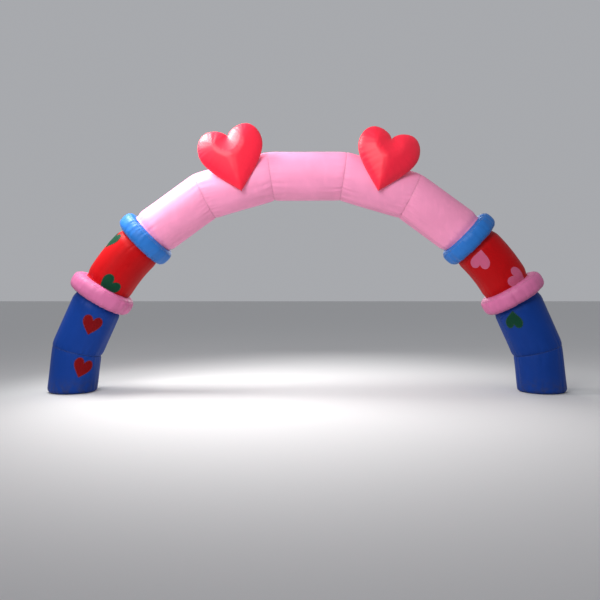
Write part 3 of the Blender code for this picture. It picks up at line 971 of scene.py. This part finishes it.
# %% The form of a puffed heart
PuffedHeart = namedtuple("PuffedHeart", "name side tip height tilt lean")
PUFFED_HEARTS = [
    PuffedHeart("heart_left", -1, (-0.965, -0.402, 3.010), 1.005, 15.0, 8.0),
    PuffedHeart("heart_right", 1, (1.045, -0.402, 3.010), 0.960, 15.0, 8.0),
]
PUFFED_DEPTH = 0.185      # half the thickness
PUFFED_POWER = 0.6
PUFFED_NOTCH = 0.865
PUFFED_STEP = 0.014
RIM_STEP = 0.002
SOFTNESS = 40             # higher is sharper


def soft_distance(points, height):
    """Distance from the rim, with the ridges rounded."""
    rim, _ = heart_rim(height, PUFFED_NOTCH, RIM_STEP)
    total = np.zeros(len(points))
    for chunk in np.array_split(rim, 20):
        total += (np.linalg.norm(points[:, None] - chunk, axis=-1) ** -float(SOFTNESS)).sum(1)
    straight, step = np.linspace(-10.0, 10.0, 20001, retstep=True)
    one_side = ((1.0 + straight ** 2) ** (-SOFTNESS / 2)).sum() * step
    return (total * RIM_STEP / one_side) ** (-1.0 / (SOFTNESS - 1))


def puffed_form(heart, flat, faces, rim_count):
    """Both panels of a heart before the air, and which flat point each of their points is."""
    inner = slice(rim_count, None)
    soft = np.zeros(len(flat))
    soft[inner] = soft_distance(flat[inner], heart.height)
    swell = PUFFED_DEPTH * (soft / soft.max()) ** PUFFED_POWER
    front = np.stack([flat[:, 0], -swell, flat[:, 1]], -1)
    points = np.vstack([front, (front * (1, -1, 1))[inner]])
    count = len(flat) - rim_count
    behind = [i if i < rim_count else i + count for i in range(len(flat))]
    faces = [tuple(f) for f in faces] + [tuple(behind[i] for i in reversed(f)) for f in faces]
    source = np.concatenate([np.arange(len(flat)), np.arange(rim_count, len(flat))])
    return points, faces, source


print("thickness of a puffed heart:", 2 * PUFFED_DEPTH, "m")

# %% [markdown]
# ## Air in the hearts
# Blender's cloth solver blows the panels up. A shape key tells it that they were cut one part in a
# hundred larger than they are, so that the skin has slack to fill, and the rim is pinned. Gravity is
# off, because air holds the heart up. Left alone, the pressure rounds the ridges off, so no point
# may move further than a cap, which keeps the ridges and still gives each facet its soft swell. The
# points are read back and the solver's object is deleted.

# %% Blow up a skin
CUT_SIZE = 1.010          # the panels are cut larger than the space they fill
CLOTH_TENSION = 80.0
AIR_FRAMES = 20
AIR_CAP = 0.0045          # no point moves further than this
AIR_SETTINGS = {
    "quality": 6,
    "mass": 0.004,
    "air_damping": 2.0,
    "tension_stiffness": CLOTH_TENSION,
    "compression_stiffness": CLOTH_TENSION,
    "shear_stiffness": CLOTH_TENSION / 3,
    "bending_stiffness": 0.02,
    "use_pressure": True,
    "uniform_pressure_force": 50.0,
    "vertex_group_mass": "pinned",
}


def blow_up(points, faces, pinned):
    """The points of a closed skin after Blender's cloth solver has filled it with air."""
    mesh = bpy.data.meshes.new("slack")
    mesh.from_pydata(points.tolist(), [], faces)
    slack = bpy.data.objects.new("slack", mesh)
    scene.collection.objects.link(slack)
    slack.shape_key_add(name="now")
    cut = slack.shape_key_add(name="cut")
    middle = points.mean(0)
    cut.data.foreach_set("co", (middle + (points - middle) * CUT_SIZE).ravel())
    slack.vertex_groups.new(name="pinned").add(pinned, 1.0, "REPLACE")
    air = slack.modifiers.new("air", "CLOTH")
    for key, value in AIR_SETTINGS.items():
        setattr(air.settings, key, value)
    air.settings.rest_shape_key = cut
    air.settings.effector_weights.gravity = 0.0
    air.collision_settings.use_collision = False
    air.point_cache.frame_end = AIR_FRAMES
    for frame_number in range(1, AIR_FRAMES + 1):
        scene.frame_set(frame_number)
    blown = slack.evaluated_get(bpy.context.evaluated_depsgraph_get()).data
    moves = np.array([v.co for v in blown.vertices]) - points
    size = np.linalg.norm(moves, axis=1, keepdims=True)
    moves *= np.minimum(1.0, AIR_CAP / np.maximum(size, 1e-9))
    mean, most = size.mean() * 1000, size.max() * 1000
    print(f"blown up: {mean:.1f} mm on average and {most:.1f} mm at most before the cap")
    bpy.data.objects.remove(slack)
    bpy.data.meshes.remove(mesh)
    scene.frame_set(1)
    return points + moves


# %% [markdown]
# ## Seating the hearts
# A heart stands on its point in front of the tube, tilted outwards and leant back against it. The
# puckers along its rim come after the air, which would smooth them. Where its back would enter the
# tube, the points are moved out to the tube's skin, because two skins full of air press flat where
# they meet.

# %% Make the puffed hearts
CLEARANCE = 0.001
HEART_PUCKERS = 0.45
RIM_SLOPE = 1.2           # distance from the rim on the sloping skin, times that on the flat
HEART_SEED = 200


def pucker_rim(points, faces, source, flat, walk, gap, seed):
    """The points of both panels with puckers along their shared rim."""
    mesh = bpy.data.meshes.new("bare")
    mesh.from_pydata(points.tolist(), [], faces)
    normals = np.array([v.normal for v in mesh.vertices])
    bpy.data.meshes.remove(mesh)
    loop = 2 * walk.max()
    turn = 2 * pi * np.where(flat[:, 0] >= 0, walk, loop - walk) / loop
    moved = points.copy()
    for number, part in enumerate((slice(0, len(flat)), slice(len(flat), None))):
        which = source[part]
        relief = puckers(turn[which], loop, gap[which], seed + number, HEART_PUCKERS)
        moved[part] += normals[part] * relief[:, None]
    return moved


def stood_up(points, heart):
    """Points of a heart on its place, tilted outwards and leant back."""
    tilt = Matrix.Rotation(radians(heart.tilt * heart.side), 4, "Y")
    lean = Matrix.Rotation(radians(-heart.lean), 4, "X")
    place = np.array(Matrix.Translation(heart.tip) @ tilt @ lean)
    return points @ place[:3, :3].T + place[:3, 3]


def skin_tree(node):
    """The skin of a dressed node, in the form that finds nearest places quickly."""
    mesh = skins[node].data
    faces = [tuple(p.vertices) for p in mesh.polygons]
    return BVHTree.FromPolygons([v.co for v in mesh.vertices], faces)


def clear_of(points, trees):
    """The same points, with those inside the skins moved out to them."""
    moved = points.copy()
    for i in range(len(moved)):
        for tree in trees:
            place, normal, _, _ = tree.find_nearest(Vector(moved[i]))
            if (Vector(moved[i]) - place).dot(normal) < CLEARANCE:
                moved[i] = place + normal * CLEARANCE
    return moved


def make_puffed_heart(heart, seed):
    rim, walked = heart_rim(heart.height, PUFFED_NOTCH, PUFFED_STEP)
    flat, faces, gap, walk = flat_heart(rim, walked, PUFFED_STEP)
    points, faces, source = puffed_form(heart, flat, faces, len(rim))
    points = blow_up(points, faces, list(range(len(rim))))
    points = pucker_rim(points, faces, source, flat, walk, gap, seed)
    neighbours = [f"{name}_{SIDE_NAMES[heart.side]}" for name in ("arch_outer", "arch_inner")]
    points = clear_of(stood_up(points, heart), [skin_tree(node) for node in neighbours])
    corners = source[np.array(faces).ravel()]
    maps = {"cloth": flat[corners], "seam": np.stack([walk, gap * RIM_SLOPE], -1)[corners]}
    piece = new_piece("cloth_" + heart.name, points, faces, maps, "heart_red")
    return seat(piece, heart.name)


for number, heart in enumerate(PUFFED_HEARTS):
    skins[heart.name] = make_puffed_heart(heart, HEART_SEED + 10 * number)

# %% [markdown]
# ## Patches
# A patch is one layer of cloth cut to a heart, with its edge turned under and stitched to the tube.
# It could be painted on, but a real one stands proud and casts a thin shadow, so it is a piece of
# its own. The table places each on its length of tube: how far up, how far round, and how its point
# is turned.

# %% Where the patches lie
Patch = namedtuple("Patch", "name side row up turn spin height slot")
PATCHES = [
    Patch("patch_foot_left", -1, 0, 0.427, 126, 17, 0.290, "patch_red"),
    Patch("patch_leg_left", -1, 1, 0.508, 113, -3, 0.290, "patch_red"),
    Patch("patch_sleeve_low_left", -1, 2, 0.215, 106, 18, 0.310, "patch_green"),
    Patch("patch_sleeve_high_left", -1, 2, 0.765, 29, 0, 0.300, "patch_green"),
    Patch("patch_leg_right", 1, 1, 0.610, 128, 196, 0.270, "patch_green"),
    Patch("patch_sleeve_low_right", 1, 2, 0.195, 71, -34, 0.300, "patch_pink"),
    Patch("patch_sleeve_high_right", 1, 2, 0.737, 117, 221, 0.290, "patch_pink"),
]


def patch_place(patch, tube):
    """The place of a patch on its tube, facing out, with its point down the tube, as a matrix."""
    turn = np.array(radians(patch.turn) * -patch.side)
    low, high = tube.reach(turn)
    share = (patch.up - low) / (high - low)
    out, along = tube.spoke(turn), tube.axis
    middle = tube.start + tube.axis * patch.up + out * tube.radius(share)
    facing = np.stack([np.cross(along, out), -out, along], -1)
    facing = facing @ np.array(Matrix.Rotation(radians(patch.spin), 3, "Y"))
    return facing, middle + tube.bow(share) * tube.outward


print("patches:", ", ".join(patch.name for patch in PATCHES))

# %% [markdown]
# ## Dropping a patch on its tube
# A patch starts as a flat heart that floats before its tube. A ray from each point, straight at the
# tube, finds where the point lands, so the patch follows the tube's roundness and its puckers. A
# collar hides part of two patches, and those are cut off where it begins.

# %% Drop and cut off
PATCH_CLEAR = 0.004       # a patch stops this far from a collar
PATCH_MIDDLE = 0.55       # height of its middle, in shares of its own height
DROP = 0.12               # distance that the flat patch is dropped from


class Landing:
    """Drops flat points of a patch on the dressed tube."""

    def __init__(self, patch, tube, tree):
        self.patch = patch
        self.tube = tube
        self.tree = tree
        self.facing, self.middle = patch_place(patch, tube)
        self.trims = [bend.width / 2 + PATCH_CLEAR if bend else PATCH_CLEAR for bend in tube.bends]

    def drop(self, flat):
        """Where the points land and the tube's normals there, both as on the left half."""
        direction = self.facing @ np.array((0.0, 1.0, 0.0))
        middle = self.patch.height * PATCH_MIDDLE
        places, normals = [], []
        for x, z in flat:
            start = self.middle + self.facing @ np.array((x, -DROP, z - middle))
            place, normal, _, _ = self.tree.ray_cast(Vector(start), Vector(direction))
            places.append(place)
            normals.append(normal)
        return np.array(places), np.array(normals)

    def room(self, flat):
        """How far the points are from what cuts the patch off, negative past it."""
        places, _ = self.drop(flat)
        local = places - self.tube.start
        turn = np.arctan2(local @ FRONT, local @ self.tube.outward)
        low, high = self.tube.reach(turn)
        along = local @ self.tube.axis
        return np.minimum(along - low - self.trims[0], high - along - self.trims[1])


def clip_rim(rim, room, spacing):
    """The part of an outline that has room, with new points along the cut."""
    kept = []
    for i in range(len(rim)):
        j = (i + 1) % len(rim)
        if room[i] >= 0:
            kept.append(rim[i])
        if (room[i] >= 0) != (room[j] >= 0):
            kept.append(rim[i] + (rim[j] - rim[i]) * room[i] / (room[i] - room[j]))
    filled = []
    for start, end in zip(kept, kept[1:] + kept[:1]):
        count = max(1, round(np.linalg.norm(end - start) / spacing))
        filled += [start + (end - start) * k / count for k in range(count)]
    return np.array(filled)


# %% [markdown]
# ## Making the patches
# The flat heart becomes two layers of points, one just above the tube's skin and one a cloth's
# thickness further out, joined round the edge. The flat size and area are those before it is
# dropped, as it was cut from the cloth.

# %% Make the patches
PATCH_CLOTH = 0.002
PATCH_LIFT = 0.0006       # keeps the patch's flat facets clear of the round tube
PATCH_NOTCH = 0.770
PATCH_STEP = 0.007


def left_tree(tube, side):
    """The skin of a length of tube on either side, as it would stand on the left half."""
    mesh = skins[f"{tube.row.name}_{SIDE_NAMES[side]}"].data
    points = np.array([v.co for v in mesh.vertices]) - np.array((0.0, PLANE_Y, 0.0))
    if side > 0:
        points = points * np.array((-1.0, -1.0, 1.0))
    return BVHTree.FromPolygons(points.tolist(), [tuple(p.vertices) for p in mesh.polygons])


def two_layers(faces, count, rim_count):
    """Faces of the outer layer, the inner one and the edge, and each corner's flat point."""
    edge = [(i, (i + 1) % rim_count) for i in range(rim_count)]
    around = [(i, i + count, j + count, j) for i, j in edge]
    under = [tuple(i + count for i in reversed(f)) for f in faces]
    source = [i for f in faces for i in f] + [i - count for f in under for i in f]
    return faces + under + around, np.array(source + [k for i, j in edge for k in (i, i, j, j)])


def make_patch(patch, tube):
    landing = Landing(patch, tube, left_tree(tube, patch.side))
    rim, _ = heart_rim(patch.height, PATCH_NOTCH, PATCH_STEP)
    rim = clip_rim(rim, landing.room(rim), PATCH_STEP)
    walked = np.concatenate([[0.0], np.cumsum(np.linalg.norm(np.diff(rim, axis=0), axis=1))])
    flat, faces, gap, walk = flat_heart(rim, walked, PATCH_STEP)
    faces = [tuple(f) for f in faces]
    area = sum(np.cross(flat[b] - flat[a], flat[c] - flat[a]) / 2 for a, b, c in faces)
    size = flat.max(0) - flat.min(0)
    places, normals = landing.drop(flat)
    lifts = (PATCH_LIFT, PATCH_LIFT + PATCH_CLOTH)
    inner, outer = [placed(places + normals * lift, patch.side) for lift in lifts]
    faces, source = two_layers(faces, len(flat), len(rim))
    maps = {"cloth": flat[source], "seam": np.stack([walk, gap], -1)[source]}
    points = np.vstack([outer, inner])
    piece = new_piece("cloth_" + patch.name, points, faces, maps, patch.slot)
    return seat(piece, patch.name)


for patch in PATCHES:
    skins[patch.name] = make_patch(patch, tubes[patch.row])
